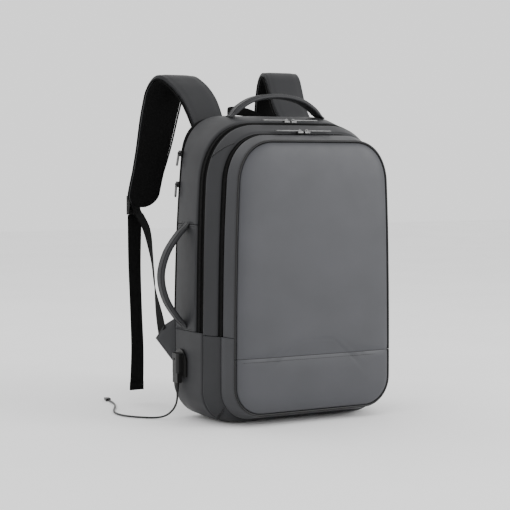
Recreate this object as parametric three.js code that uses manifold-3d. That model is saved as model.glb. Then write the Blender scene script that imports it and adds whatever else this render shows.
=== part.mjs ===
// A business travel backpack with a USB charging port, as an assembly of sewn panels, zips, straps,
// handles and a charging lead. Millimetres. +X is the wearer's right, +Y points to the wearer's back,
// +Z is up, and the origin is on the floor under the middle of the base.
import * as THREE from 'three';
import { mergeVertices } from 'three/addons/utils/BufferGeometryUtils.js';
import Module from 'manifold-3d';

const wasm = await Module();
wasm.setup();

// ---------------------------------------------------------------- driving dimensions
const WIDTH = 320; // widest, across the rear section
const HEIGHT = 461; // floor to the highest point of the body
const FRONT_INSET = 24; // how much narrower the front pocket is, each side
const FRONT_DROP = 40; // how much lower the front pocket's top is
const FRONT_LIFT = 16; // how far the front pocket's bottom stands off the floor
const POCKET_DEPTH = 25;
const POCKET_ZIP_WIDTH = 10;
const MIDDLE_DEPTH = 25;
const MAIN_ZIP_WIDTH = 18;
const REAR_DEPTH = 66;
const BINDING_DEPTH = 6;
const FRONT_FACE_Y = -75; // front edge of the pocket gusset
const WALL = 3; // fabric with its foam
const TAPE = 2; // zip tape
const GAP = 0.3; // between touching pieces
const PLATE = 2; // inner divider panels
const FRONT_BULGE = 8; // crown of the front panel
const PIPING = 3;
const SEAM_Z = 102; // seam between the two front panels, where both lids fold
const ZIP_END_Z = 136; // lower ends of the main zip
const POCKET_ZIP_END_Z = 133; // lower ends of the pocket zip
const HANDLE_SEAM_Z = 296; // seam above the side panels
const BACK_PAD_THICK = 9;
const STRAP_WIDTH = 56;
const STRAP_SWELL = 12; // extra width at the shoulder
const STRAP_FOAM = 8;
const STRAP_MESH = 3;
const STRAP_BASE_X = 89;
const WEBBING_WIDTH = 25;
const WEBBING_THICK = 1.6;
const TOP_GRIP = { width: 22, thick: 8 };
const SIDE_GRIP = { width: 19, thick: 6.5 };
const PULL_LENGTH = 44;
const SIDE_PULL_LENGTH = 20;
const PULL_WIDTH = 5.6;
const PULL_THICK = 1.2;
const CORD_DIAMETER = 3;

// ---------------------------------------------------------------- derived planes along the depth
const pocketBackY = FRONT_FACE_Y + POCKET_DEPTH;
const middleFrontY = pocketBackY + POCKET_ZIP_WIDTH;
const middleBackY = middleFrontY + MIDDLE_DEPTH;
const rearFrontY = middleBackY + MAIN_ZIP_WIDTH;
const bindingY = rearFrontY + REAR_DEPTH;
const backY = bindingY + BINDING_DEPTH;
const pocketChainY = (pocketBackY + middleFrontY) / 2;
const mainChainY = (middleBackY + rearFrontY) / 2;
const CHAIN_WIDTH = 4;

// ---------------------------------------------------------------- materials
const shade = (color, roughness = 0.75, metalness = 0) =>
  new THREE.MeshStandardMaterial({ color, roughness, metalness });
const FABRIC = shade(0x56585c);
const FABRIC_DARK = shade(0x3c3d41);
const MESH_FABRIC = shade(0x121212, 0.9);
const LINING = shade(0x2a2a2e, 0.85);
const ZIP_TAPE = shade(0x15150f, 0.7);
const WEBBING = shade(0x0d0d0c, 0.85);
const PLASTIC = shade(0x141414, 0.45);
const GUNMETAL = shade(0x4a4a4c, 0.35, 0.9);

// ---------------------------------------------------------------- geometry helpers
/** Solid between closed loops of equal point count; `holes` are matching inner loops for a tube wall. */
function loft(loops, holes = null) {
  const count = loops[0].length;
  const all = holes ? [...loops, ...holes] : loops;
  const position = all.flatMap((loop) => loop.flatMap((p) => [p.x, p.y, p.z]));
  const index = [];
  const quad = (a, b, c, d) => index.push(a, b, c, a, c, d);
  const skin = (first, layers, flip) => {
    for (let k = 0; k + 1 < layers; k += 1) {
      for (let i = 0; i < count; i += 1) {
        const j = (i + 1) % count;
        const low = first + k * count;
        const high = low + count;
        if (flip) quad(low + j, low + i, high + i, high + j);
        else quad(low + i, low + j, high + j, high + i);
      }
    }
  };
  const last = (loops.length - 1) * count;
  skin(0, loops.length, false);
  if (holes) {
    const inner = loops.length * count;
    skin(inner, holes.length, true);
    for (let i = 0; i < count; i += 1) {
      const j = (i + 1) % count;
      quad(inner + i, inner + j, j, i);
      quad(last + i, last + j, inner + last + j, inner + last + i);
    }
  } else {
    for (let i = 1; i + 1 < count; i += 1) {
      index.push(0, i + 1, i);
      index.push(last, last + i, last + i + 1);
    }
  }
  const geometry = new THREE.BufferGeometry();
  geometry.setAttribute('position', new THREE.Float32BufferAttribute(position, 3));
  geometry.setIndex(index);
  return facingOut(geometry);
}

/** The geometry with its faces turned outwards. */
function facingOut(geometry) {
  geometry.deleteAttribute('uv');
  geometry.deleteAttribute('normal');
  const position = geometry.attributes.position;
  const index = geometry.index ? Array.from(geometry.index.array) : [...Array(position.count).keys()];
  const [a, b, c] = [new THREE.Vector3(), new THREE.Vector3(), new THREE.Vector3()];
  let volume = 0;
  for (let i = 0; i < index.length; i += 3) {
    a.fromBufferAttribute(position, index[i]);
    b.fromBufferAttribute(position, index[i + 1]);
    c.fromBufferAttribute(position, index[i + 2]);
    volume += a.dot(b.cross(c));
  }
  if (volume < 0) {
    for (let i = 0; i < index.length; i += 3) [index[i], index[i + 1]] = [index[i + 1], index[i]];
    geometry.setIndex(index);
  }
  return geometry;
}

function toSolid(geometry) {
  const plain = geometry.clone();
  plain.deleteAttribute('normal');
  plain.deleteAttribute('uv');
  const merged = mergeVertices(plain, 1e-4);
  return new wasm.Manifold(
    new wasm.Mesh({
      numProp: 3,
      vertProperties: new Float32Array(merged.attributes.position.array),
      triVerts: new Uint32Array(merged.index.array),
    }),
  );
}

function toGeometry(solid) {
  const mesh = solid.getMesh();
  const geometry = new THREE.BufferGeometry();
  geometry.setAttribute('position', new THREE.BufferAttribute(mesh.vertProperties, 3));
  geometry.setIndex(new THREE.BufferAttribute(mesh.triVerts, 1));
  return geometry;
}

function block(x0, x1, y0, y1, z0, z1) {
  const geometry = new THREE.BoxGeometry(x1 - x0, y1 - y0, z1 - z0);
  geometry.translate((x0 + x1) / 2, (y0 + y1) / 2, (z0 + z1) / 2);
  return geometry;
}

const FAR = 2000;
const zSlice = (low, high) => toSolid(block(-FAR, FAR, -FAR, FAR, low, high));
const above = (geometry, z) => toGeometry(toSolid(geometry).intersect(zSlice(z + GAP, FAR)));
const below = (geometry, z) => toGeometry(toSolid(geometry).intersect(zSlice(-FAR, z - GAP)));
const cut = (geometry, ...tools) =>
  toGeometry(tools.reduce((solid, tool) => solid.subtract(toSolid(tool)), toSolid(geometry)));
const join = (first, ...others) =>
  toGeometry(others.reduce((solid, other) => solid.add(toSolid(other)), toSolid(first)));

// ---------------------------------------------------------------- the body's envelope
// Outer outline at stations along the depth: half width, top, bottom, corner sizes, and how far the
// sides lean in towards the top.
const half = WIDTH / 2;
const frontHalf = half - FRONT_INSET;
const frontTop = HEIGHT - FRONT_DROP;
const ENVELOPE = [
  { y: FRONT_FACE_Y, half: frontHalf, top: frontTop, bottom: FRONT_LIFT, top_r: 58, low_r: 45, lean: 6 },
  { y: pocketBackY, half: frontHalf + 6, top: frontTop + 9, bottom: 8, top_r: 66, low_r: 47, lean: 7 },
  { y: pocketChainY, half: frontHalf + 6, top: frontTop + 9.5, bottom: 7, top_r: 66, low_r: 47, lean: 7 },
  { y: middleFrontY, half: frontHalf + 10, top: frontTop + 13, bottom: 3, top_r: 72, low_r: 48, lean: 7 },
  { y: middleBackY, half: half - 3, top: HEIGHT - 15, bottom: 0, top_r: 84, low_r: 50, lean: 6 },
  { y: rearFrontY, half: half - 1, top: HEIGHT - 11, bottom: 0, top_r: 86, low_r: 50, lean: 7 },
  { y: bindingY - 24, half, top: HEIGHT, bottom: 0, top_r: 80, low_r: 50, lean: 11 },
  { y: bindingY - 9, half, top: HEIGHT, bottom: 0, top_r: 72, low_r: 50, lean: 13 },
  { y: bindingY, half: half - 0.5, top: HEIGHT - 2, bottom: 4, top_r: 62, low_r: 48, lean: 14 },
  { y: backY, half: half - 1, top: HEIGHT - 5, bottom: 10, top_r: 50, low_r: 45, lean: 14 },
];

function envelope(y) {
  const k = Math.max(1, ENVELOPE.findIndex((s, i) => i > 0 && y <= s.y));
  const [a, b] = y > backY ? ENVELOPE.slice(-2) : [ENVELOPE[k - 1], ENVELOPE[k]];
  const t = THREE.MathUtils.clamp((y - a.y) / (b.y - a.y), 0, 1);
  return Object.fromEntries(Object.keys(a).map((key) => [key, THREE.MathUtils.lerp(a[key], b[key], t)]));
}

/** The closed outline at depth y, drawn in by `inset`: one half from its curves, the other mirrored. */
function outline(y, inset = 0, atY = y) {
  const e = envelope(y);
  const side = e.half - inset;
  const [top, low] = [e.top - inset, e.bottom + inset];
  const [r, q] = [Math.max(e.top_r - inset, 2), Math.max(e.low_r - inset, 2)];
  const shoulder = side - e.lean;
  const right = new THREE.Path();
  right.moveTo(0, low);
  right.lineTo(side - q, low);
  right.absarc(side - q, low + q, q, -Math.PI / 2, 0);
  right.quadraticCurveTo(side, top * 0.6, shoulder, top - r);
  right.bezierCurveTo(shoulder - 0.06 * r, top - 0.42 * r, shoulder - 0.42 * r, top, shoulder - r, top);
  right.lineTo(0, top);
  const points = right.getPoints(6);
  const unique = points.filter((p, i) => i === 0 || p.distanceTo(points[i - 1]) > 1e-6);
  const left = unique.slice(1, -1).reverse();
  return [
    ...unique.map((p) => new THREE.Vector3(p.x, atY, p.y)),
    ...left.map((p) => new THREE.Vector3(-p.x, atY, p.y)),
  ];
}

/** The side's X at a height, on the left, at depth y. */
function leftSideX(y, z) {
  const right = outline(y).filter((p) => p.x > 0 && p.z > 60);
  for (let i = 0; i + 1 < right.length; i += 1) {
    const [a, b] = [right[i], right[i + 1]];
    if (a.z <= z && z <= b.z && b.z > a.z) return -THREE.MathUtils.lerp(a.x, b.x, (z - a.z) / (b.z - a.z));
  }
  return -half;
}

/** A sewn wall: the envelope between two depths, `wall` thick, drawn in by `inset`. */
function band(y0, y1, wall = WALL, inset = 0) {
  const inside = ENVELOPE.map((s) => s.y).filter((y) => y > y0 + 1 && y < y1 - 1);
  const depths = [y0, ...inside, y1];
  return loft(
    depths.map((y) => outline(y, inset)),
    depths.map((y) => outline(y, inset + wall)),
  );
}

/** A full panel across the outline, from layers of [depth, inset]. */
const panel = (station, layers) => loft(layers.map(([y, inset]) => outline(station, inset, y)));

// ---------------------------------------------------------------- the assembly
const backpack = new THREE.Group();
function add(name, geometry, material, parent = backpack) {
  const mesh = new THREE.Mesh(geometry, material);
  mesh.name = name;
  parent.add(mesh);
  return mesh;
}

// Rear section: its gusset in four sewn panels, the back, and what is inside.
const PORT = { y: 46, low: 66, high: 107, width: 38, plate: 2.2 };
function rearSection() {
  const gusset = band(rearFrontY + GAP, bindingY - GAP);
  add('rear_gusset_top', above(gusset, HANDLE_SEAM_Z), FABRIC);
  const sides = toSolid(below(above(gusset, ZIP_END_Z), HANDLE_SEAM_Z));
  const leftHalf = toSolid(block(-FAR, 0, -FAR, FAR, -FAR, FAR));
  add('left_side_panel', toGeometry(sides.intersect(leftHalf)), FABRIC);
  add('right_side_panel', toGeometry(sides.subtract(leftHalf)), FABRIC);
  add('lower_gusset', below(band(middleBackY + GAP, bindingY - GAP), ZIP_END_Z), FABRIC);

  add('back_binding', band(bindingY + GAP, backY, WALL, 0.8), MESH_FABRIC);
  const inBinding = 0.8 + WALL + GAP;
  const backLoops = [outline(bindingY + 1, inBinding), outline(backY, inBinding)];
  add('back_panel', loft(backLoops), MESH_FABRIC);
  add('laptop_divider', below(panel(bindingY - 24, [[44, 7], [44 + PLATE, 7]]), HEIGHT - 61), LINING);
  add('base_board', block(-half + 54, half - 54, rearFrontY, 42, WALL + 1, WALL + 4), LINING);
}

// Back padding: two columns, a lumbar pad and the hanging loop between the straps.
const HANG_LOOP = [
  [-30, 0.4, -17], [-32, 12, -14], [-38, 28, -4], [-38, 42, 6], [-22, 50, 9],
  [-2, 44, 6], [14, 28, -4], [24, 12, -14], [26, 0.4, -17],
]; // x, back from the panel's face, and up from the body's top
function backPadding() {
  const face = backY + GAP;
  const cushion = (x0, x1, z0, z1, r) => {
    const shape = new THREE.Shape();
    shape.moveTo(x0 + r, z0);
    shape.lineTo(x1 - r, z0);
    shape.absarc(x1 - r, z0 + r, r, -Math.PI / 2, 0);
    shape.lineTo(x1, z1 - r);
    shape.absarc(x1 - r, z1 - r, r, 0, Math.PI / 2);
    shape.lineTo(x0 + r, z1);
    shape.absarc(x0 + r, z1 - r, r, Math.PI / 2, Math.PI);
    shape.lineTo(x0, z0 + r);
    shape.absarc(x0 + r, z0 + r, r, Math.PI, 1.5 * Math.PI);
    const solid = new THREE.ExtrudeGeometry(shape, {
      depth: BACK_PAD_THICK,
      bevelEnabled: false,
      curveSegments: 4,
    });
    solid.rotateX(Math.PI / 2);
    solid.translate(0, face + BACK_PAD_THICK, 0);
    return solid;
  };
  const [inner, outer] = [14, half - 34];
  add('back_pad_left', cushion(-outer, -inner, 158, HEIGHT - 47, 22), MESH_FABRIC);
  add('back_pad_right', cushion(inner, outer, 158, HEIGHT - 47, 22), MESH_FABRIC);
  add('lumbar_pad', cushion(-outer, outer, 44, 146, 22), MESH_FABRIC);

  const route = new THREE.CatmullRomCurve3(
    HANG_LOOP.map(([x, back, up]) => new THREE.Vector3(x, face + back, HEIGHT + up)),
  );
  const up = new THREE.Vector3(0, 0, 1);
  add('hang_loop', ribbon(route, 16, () => up, 16, 3), WEBBING);
}

/** A flat strip along a curve. `across(t)` is its width direction, and width may be a function of t. */
function ribbon(curve, steps, across, width, thick, offset = 0) {
  const loops = [];
  for (let i = 0; i <= steps; i += 1) {
    const t = i / steps;
    const centre = curve.getPointAt(t);
    const along = curve.getTangentAt(t);
    const wide = across(t);
    const out = wide.clone().cross(along).normalize();
    const w = (typeof width === 'function' ? width(t) : width) / 2;
    const corner = (s, n) =>
      centre.clone().addScaledVector(wide, s * w).addScaledVector(out, offset + n * thick);
    loops.push([
      corner(-1, -0.25),
      corner(-0.94, -0.5),
      corner(0.94, -0.5),
      corner(1, -0.25),
      corner(1, 0.25),
      corner(0.94, 0.5),
      corner(-0.94, 0.5),
      corner(-1, 0.25),
    ]);
  }
  return loft(loops);
}

// Main zip, with the front section that folds down from it.
function frontSection() {
  const [tapeInset, chainInset] = [1.5, 0];
  const halfChain = CHAIN_WIDTH / 2;
  const main = (y0, y1, wall, inset) => above(band(y0, y1, wall, inset), ZIP_END_Z);
  const behind = rearFrontY - GAP;
  add('main_zip_tape_rear', main(mainChainY + halfChain + GAP, behind, TAPE, tapeInset), ZIP_TAPE);
  add('main_zip_chain', main(mainChainY - halfChain, mainChainY + halfChain, WALL, chainInset), ZIP_TAPE);
  add(
    'main_zip_tape_front',
    main(middleBackY + GAP, mainChainY - halfChain - GAP, TAPE, tapeInset),
    ZIP_TAPE,
  );

  const middle = band(middleFrontY + GAP, middleBackY - GAP);
  add('middle_gusset_upper', above(middle, POCKET_ZIP_END_Z), FABRIC);
  const lowerMiddle = band(pocketChainY + GAP, middleBackY - GAP);
  add('middle_gusset_lower', below(lowerMiddle, POCKET_ZIP_END_Z), FABRIC);

  const dividerInset = WALL + 1;
  const divider = panel(pocketChainY, [[pocketChainY - 1, dividerInset], [pocketChainY + 1, dividerInset]]);
  add('pocket_divider_upper', above(divider, POCKET_ZIP_END_Z), LINING);
  add('pocket_divider_lower', below(divider, POCKET_ZIP_END_Z), LINING);
  add('pen_organizer', block(-95, 95, pocketChainY - 4.5, pocketChainY - 3, 150, 290), LINING);
}

// Front pocket with its zip, front panels and piping.
function frontPocket() {
  const halfChain = CHAIN_WIDTH / 2;
  const zip = (y0, y1, wall, inset) => above(band(y0, y1, wall, inset), POCKET_ZIP_END_Z);
  const [chainFront, chainRear] = [pocketChainY - halfChain, pocketChainY + halfChain];
  add('pocket_zip_tape_rear', zip(chainRear + GAP, middleFrontY - GAP, TAPE, 1.8), ZIP_TAPE);
  add('pocket_zip_chain', zip(chainFront, chainRear, WALL, 0.5), ZIP_TAPE);
  add('pocket_zip_tape_front', zip(pocketBackY + GAP, chainFront - GAP, TAPE, 1.8), ZIP_TAPE);

  const upper = band(FRONT_FACE_Y, pocketBackY - GAP);
  add('pocket_gusset_upper', above(upper, POCKET_ZIP_END_Z), FABRIC);
  const lower = band(FRONT_FACE_Y, pocketChainY - GAP);
  add('pocket_gusset_lower', below(lower, POCKET_ZIP_END_Z), FABRIC);

  const pipingBack = FRONT_FACE_Y - GAP;
  const piping = loft(
    [outline(FRONT_FACE_Y, -0.8, pipingBack), outline(FRONT_FACE_Y, -0.8, pipingBack - PIPING)],
    [outline(FRONT_FACE_Y, 2.8, pipingBack), outline(FRONT_FACE_Y, 2.8, pipingBack - PIPING)],
  );
  add('front_piping_upper', above(piping, SEAM_Z), WEBBING);
  add('front_piping_lower', below(piping, SEAM_Z), WEBBING);

  const back = pipingBack - 0.5;
  const crown = panel(FRONT_FACE_Y, [
    [back, 3.2],
    [back - 3, 3.6],
    [back - FRONT_BULGE * 0.7, 14],
    [back - FRONT_BULGE, 40],
  ]);
  add('front_panel_upper', above(crown, SEAM_Z), FABRIC);
  add('front_panel_lower', below(crown, SEAM_Z), FABRIC);
}

// Zip sliders with their pulls. Each is built lying flat, pull towards -X, at its own origin on top of
// the chain, and then placed.
const SLIDER = { length: 9, width: 7.6, height: 2.6, lift: 0.35 };
const BRIDGE = { inner: 1.9, outer: 3, width: 1.8 };
function sliderShapes(pullLength) {
  const { length, width, height } = SLIDER;
  const body = block(-length / 2, length / 2, -width / 2, width / 2, 0, height);
  const arch = new THREE.Shape();
  arch.absarc(0, 0, BRIDGE.outer, -0.1, Math.PI + 0.1);
  arch.absarc(0, 0, BRIDGE.inner, Math.PI + 0.1, -0.1, true);
  const bridge = new THREE.ExtrudeGeometry(arch, {
    depth: BRIDGE.width,
    bevelEnabled: false,
    curveSegments: 6,
  });
  bridge.rotateX(Math.PI / 2);
  bridge.translate(0, BRIDGE.width / 2, SLIDER.height);
  const low = SLIDER.height + SLIDER.lift;
  const outlineShape = new THREE.Shape();
  const w = PULL_WIDTH / 2;
  outlineShape.moveTo(0.6, -w);
  outlineShape.lineTo(0.6, w);
  outlineShape.lineTo(-pullLength + w, w);
  outlineShape.absarc(-pullLength + w, 0, w, Math.PI / 2, 1.5 * Math.PI);
  const eye = new THREE.Path();
  eye.moveTo(-3.9, -1.3);
  eye.lineTo(-0.6, -1.3);
  eye.lineTo(-0.6, 1.3);
  eye.lineTo(-3.9, 1.3);
  const end = new THREE.Path();
  end.absarc(-pullLength + w, 0, 1.1, 0, 2 * Math.PI);
  outlineShape.holes.push(eye, end);
  const pull = new THREE.ExtrudeGeometry(outlineShape, {
    depth: PULL_THICK,
    bevelEnabled: false,
    curveSegments: 4,
  });
  pull.translate(0, 0, low);
  return { body: join(body, bridge), pull };
}

function addSlider(name, place, turn, pullLength) {
  const { body, pull } = sliderShapes(pullLength);
  const holder = new THREE.Group();
  holder.position.copy(place);
  holder.rotation.copy(turn);
  backpack.add(holder);
  add(`${name}_slider`, body, GUNMETAL, holder);
  add(`${name}_pull`, pull, GUNMETAL, holder);
}

const SLIDER_X = 6; // the sliders meet at the middle of the top
const SIDE_SLIDERS = { upper: HEIGHT - 59, lower: HEIGHT - 106, y: backY - BINDING_DEPTH / 2 };
function zipHardware() {
  const flat = new THREE.Euler();
  const turned = new THREE.Euler(0, 0, Math.PI);
  const mainTop = envelope(mainChainY + CHAIN_WIDTH / 2).top + 0.6;
  const pocketTop = envelope(pocketChainY + CHAIN_WIDTH / 2).top + 0.5;
  addSlider('main_left', new THREE.Vector3(-SLIDER_X, mainChainY, mainTop), flat, PULL_LENGTH);
  addSlider('main_right', new THREE.Vector3(SLIDER_X, mainChainY, mainTop), turned, PULL_LENGTH);
  addSlider('pocket_left', new THREE.Vector3(-SLIDER_X, pocketChainY, pocketTop), flat, PULL_LENGTH);
  addSlider('pocket_right', new THREE.Vector3(SLIDER_X, pocketChainY, pocketTop), turned, PULL_LENGTH);
  // The side-access zip runs down the left rear edge, so its sliders face outwards with hanging pulls.
  for (const level of ['upper', 'lower']) {
    const z = SIDE_SLIDERS[level];
    const lean = (leftSideX(SIDE_SLIDERS.y, z + 20) - leftSideX(SIDE_SLIDERS.y, z - 20)) / 40;
    const place = new THREE.Vector3(leftSideX(SIDE_SLIDERS.y, z) - 0.9, SIDE_SLIDERS.y, z);
    const turn = new THREE.Euler(0, -Math.PI / 2 + Math.atan(lean), 0);
    addSlider(`side_${level}`, place, turn, SIDE_PULL_LENGTH);
  }
}

// Carrying handles: a padded arch on top and one on the left side.
const HANDLE_Y = 36;
const HANDLE_CLEAR = 8.5; // from the bag's face to the middle of the grip's end
const TOP_ARCH = [[-75, 0], [-66, 6.5], [-40, 17.5], [0, 24], [40, 17.5], [66, 6.5], [75, 0]]; // x, up
// Points of the side grip: fraction of its half length, distance out from the side
const SIDE_BOW = [[-1, 0], [-0.82, 9], [-0.44, 26], [0, 33.5], [0.44, 26], [0.82, 9], [1, 0]];
function handles() {
  const top = envelope(HANDLE_Y).top;
  const arch = new THREE.CatmullRomCurve3(
    TOP_ARCH.map(([x, up]) => new THREE.Vector3(x, HANDLE_Y, top + HANDLE_CLEAR + up)),
  );
  const depth = new THREE.Vector3(0, -1, 0);
  const taper = (grip) => (t) => grip.width * (1 - 0.35 * Math.abs(2 * t - 1) ** 8);
  add('top_handle_grip', ribbon(arch, 20, () => depth, taper(TOP_GRIP), TOP_GRIP.thick), FABRIC);

  const [low, high] = [ZIP_END_Z + 10, HANDLE_SEAM_Z - 4];
  const middle = (low + high) / 2;
  const face = -half - HANDLE_CLEAR;
  const bow = new THREE.CatmullRomCurve3(
    SIDE_BOW.map(([along, out]) =>
      new THREE.Vector3(face - out, HANDLE_Y, middle + (along * (high - low)) / 2)),
  );
  add('side_handle_grip', ribbon(bow, 20, () => depth, taper(SIDE_GRIP), SIDE_GRIP.thick), FABRIC);
}

// Shoulder straps, built for the left side and mirrored for the right.
const STRAP_ROUTES = {
  left: [
    [3, 16, -17], [3, 22, 1], [5, 40, 24], [13, 60, 45], [24, 80, 57], [31, 96, 44],
    [37, 104, 12], [46, 114, -53], [54, 123, -101], [59, 132, -144],
  ],
  right: [
    [-9, 16, -24], [-10, 26, -12], [-11, 38, -1], [-12, 50, 17], [-12, 62, 42], [-11, 73, 60], [-10, 83, 66],
    [-9, 93, 59], [-8, 102, 38], [-7, 109, 12], [-6, 119, -53], [-5, 126, -101], [-3, 132, -144],
  ],
}; // out from the strap's base line, back from the body, and up from the body's top edge
// out, back and up are measured from the tip of the strap
const LOCK = { out: 4, back: 20.5, up: 3, turn: 0.52, height: 30, width: 32, thick: 5 };
const TAIL_END_Z = 20;
function strap(side) {
  const sign = side === 'left' ? -1 : 1;
  const mirrored = (x, y, z) => new THREE.Vector3(sign * x, y, z);
  const steps = STRAP_ROUTES[side];
  const route = steps.map(([out, back, up]) => mirrored(STRAP_BASE_X + out, backY + back, HEIGHT + up));
  const curve = new THREE.CatmullRomCurve3(route);
  const across = () => new THREE.Vector3(1, 0, 0);
  const width = (t) => {
    const swell = STRAP_WIDTH + STRAP_SWELL * Math.sin(Math.PI * Math.min(1, t * 1.2));
    const round = t > 0.93 ? Math.sqrt(1 - ((t - 0.93) / 0.075) ** 2) : 1;
    return swell * Math.max(round, 0.4);
  };
  add(`strap_pad_${side}`, ribbon(curve, 30, across, width, STRAP_FOAM, STRAP_FOAM / 2), FABRIC);
  const under = -(STRAP_MESH / 2 + GAP);
  add(`strap_mesh_${side}`, ribbon(curve, 30, across, (t) => width(t) - 2, STRAP_MESH, under), MESH_FABRIC);

  // Ladder lock on the outer face of the pad's end: a frame with two slots.
  const { width: w, height: h, thick } = LOCK;
  const frame = block(-w / 2, w / 2, -thick / 2, thick / 2, -h / 2, h / 2);
  const slot = WEBBING_WIDTH / 2 + 1.5;
  const slots = [3.2, -8.2].map((z) => block(-slot, slot, -thick, thick, z, z + 5));
  const lock = add(`ladder_lock_${side}`, cut(frame, ...slots), PLASTIC);
  const tip = route[route.length - 1];
  lock.position.set(tip.x + sign * LOCK.out, tip.y + LOCK.back, tip.z + LOCK.up);
  lock.rotation.z = -sign * LOCK.turn;

  // The tail hangs free below the lock.
  const [wide, flat] = [WEBBING_WIDTH / 2, WEBBING_THICK / 2];
  const tailTop = lock.position.z - h / 2 - GAP;
  const tail = add(`strap_tail_${side}`, block(-wide, wide, -flat, flat, TAIL_END_Z, tailTop), WEBBING);
  tail.position.set(lock.position.x - sign * 2, lock.position.y, 0);

  // Anchor tab sewn into the rear seam, and the webbing that runs from it up to the lock.
  const corners = [[0, 84], [34, 118], [15, 140], [0, 148]];
  const tab = new THREE.Shape(corners.map(([s, z]) => new THREE.Vector2(s, z)));
  const tabSolid = new THREE.ExtrudeGeometry(tab, { depth: 3, bevelEnabled: false });
  tabSolid.rotateX(Math.PI / 2);
  tabSolid.rotateZ(Math.atan2(33, 13));
  tabSolid.translate(half - 1, backY + 0.4, 0);
  tabSolid.scale(sign, 1, 1);
  add(`anchor_tab_${side}`, facingOut(tabSolid), FABRIC);

  const foot = mirrored(half + 10.5, backY + 25, 131);
  const head = lock.position.clone().add(mirrored(-6, -7, -14));
  const inward = [0, 0.33, 0.66, 0.87, 1].map((t, i) =>
    foot.clone().lerp(head, t).add(mirrored([0, -3, -9, -8, 0][i], 0, [0, -6, -5, 0, 0][i])),
  );
  const run = new THREE.CatmullRomCurve3(inward);
  const turns = [mirrored(0.06, 0.77, -0.64), mirrored(-0.5, 0.866, 0), mirrored(-0.866, 0.5, 0)];
  const twist = (t) =>
    t < 0.5
      ? turns[0].clone().lerp(turns[1], THREE.MathUtils.smoothstep(t * 2, 0, 1)).normalize()
      : turns[1].clone().lerp(turns[2], THREE.MathUtils.smoothstep(t * 2 - 1, 0, 1)).normalize();
  add(`lower_webbing_${side}`, ribbon(run, 18, twist, WEBBING_WIDTH, WEBBING_THICK), WEBBING);
}

// USB port on the lower left side: a base plate and a hood over a socket that faces down.
const HOOD = { width: 18, out: 11, low: 71, high: 101 };
const PLUG = {
  width: 15.6,
  thick: 7.6,
  low: 56,
  tongue: 12,
  tongueWidth: 12,
  tongueThick: 4.5,
  reliefLow: 42,
};
function chargingPort() {
  const face = -half - GAP;
  const plateShape = new THREE.Shape();
  const r = PORT.width / 2;
  plateShape.moveTo(-r, PORT.low);
  plateShape.lineTo(r, PORT.low);
  plateShape.lineTo(r, PORT.high - r);
  plateShape.absarc(0, PORT.high - r, r, 0, Math.PI);
  const plate = new THREE.ExtrudeGeometry(plateShape, {
    depth: PORT.plate,
    bevelEnabled: false,
    curveSegments: 8,
  });
  plate.rotateX(Math.PI / 2);
  plate.rotateZ(-Math.PI / 2);
  plate.translate(face, PORT.y, 0);
  const hoodSection = new THREE.Shape();
  const w = HOOD.width / 2;
  hoodSection.moveTo(-w, 0);
  hoodSection.lineTo(w, 0);
  hoodSection.lineTo(w, HOOD.out - 4);
  hoodSection.absarc(w - 4, HOOD.out - 4, 4, 0, Math.PI / 2);
  hoodSection.absarc(-w + 4, HOOD.out - 4, 4, Math.PI / 2, Math.PI);
  const hood = new THREE.ExtrudeGeometry(hoodSection, {
    depth: HOOD.high - HOOD.low, bevelEnabled: false, curveSegments: 4,
  });
  hood.rotateZ(Math.PI / 2);
  hood.translate(face - 0.5, PORT.y, HOOD.low);
  const centreX = face - HOOD.out / 2 - 1;
  const fit = GAP;
  const [sw, st] = [PLUG.tongueWidth / 2 + fit, PLUG.tongueThick / 2 + fit];
  const socket = block(centreX - st, centreX + st, PORT.y - sw, PORT.y + sw, 0, HOOD.low + PLUG.tongue + 1);
  const jack = new THREE.CylinderGeometry(1.9, 1.9, 4, 16);
  jack.rotateZ(Math.PI / 2);
  jack.translate(face - HOOD.out, PORT.y, HOOD.high - 9);
  add('usb_port', cut(join(plate, hood), socket, jack), PLASTIC);

  const body = block(
    centreX - PLUG.thick / 2, centreX + PLUG.thick / 2,
    PORT.y - PLUG.width / 2, PORT.y + PLUG.width / 2, PLUG.low, HOOD.low - GAP,
  );
  const tongue = block(
    centreX - PLUG.tongueThick / 2, centreX + PLUG.tongueThick / 2,
    PORT.y - PLUG.tongueWidth / 2, PORT.y + PLUG.tongueWidth / 2, PLUG.low + 2, HOOD.low + PLUG.tongue,
  );
  const relief = new THREE.CylinderGeometry(3.6, CORD_DIAMETER / 2 + 0.6, PLUG.low - PLUG.reliefLow + 1, 16);
  relief.rotateX(Math.PI / 2);
  relief.translate(centreX, PORT.y, (PLUG.low + 1 + PLUG.reliefLow) / 2);
  add('usb_plug', join(body, tongue, relief), PLASTIC);
  return new THREE.Vector3(centreX, PORT.y, PLUG.reliefLow - GAP);
}

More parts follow.
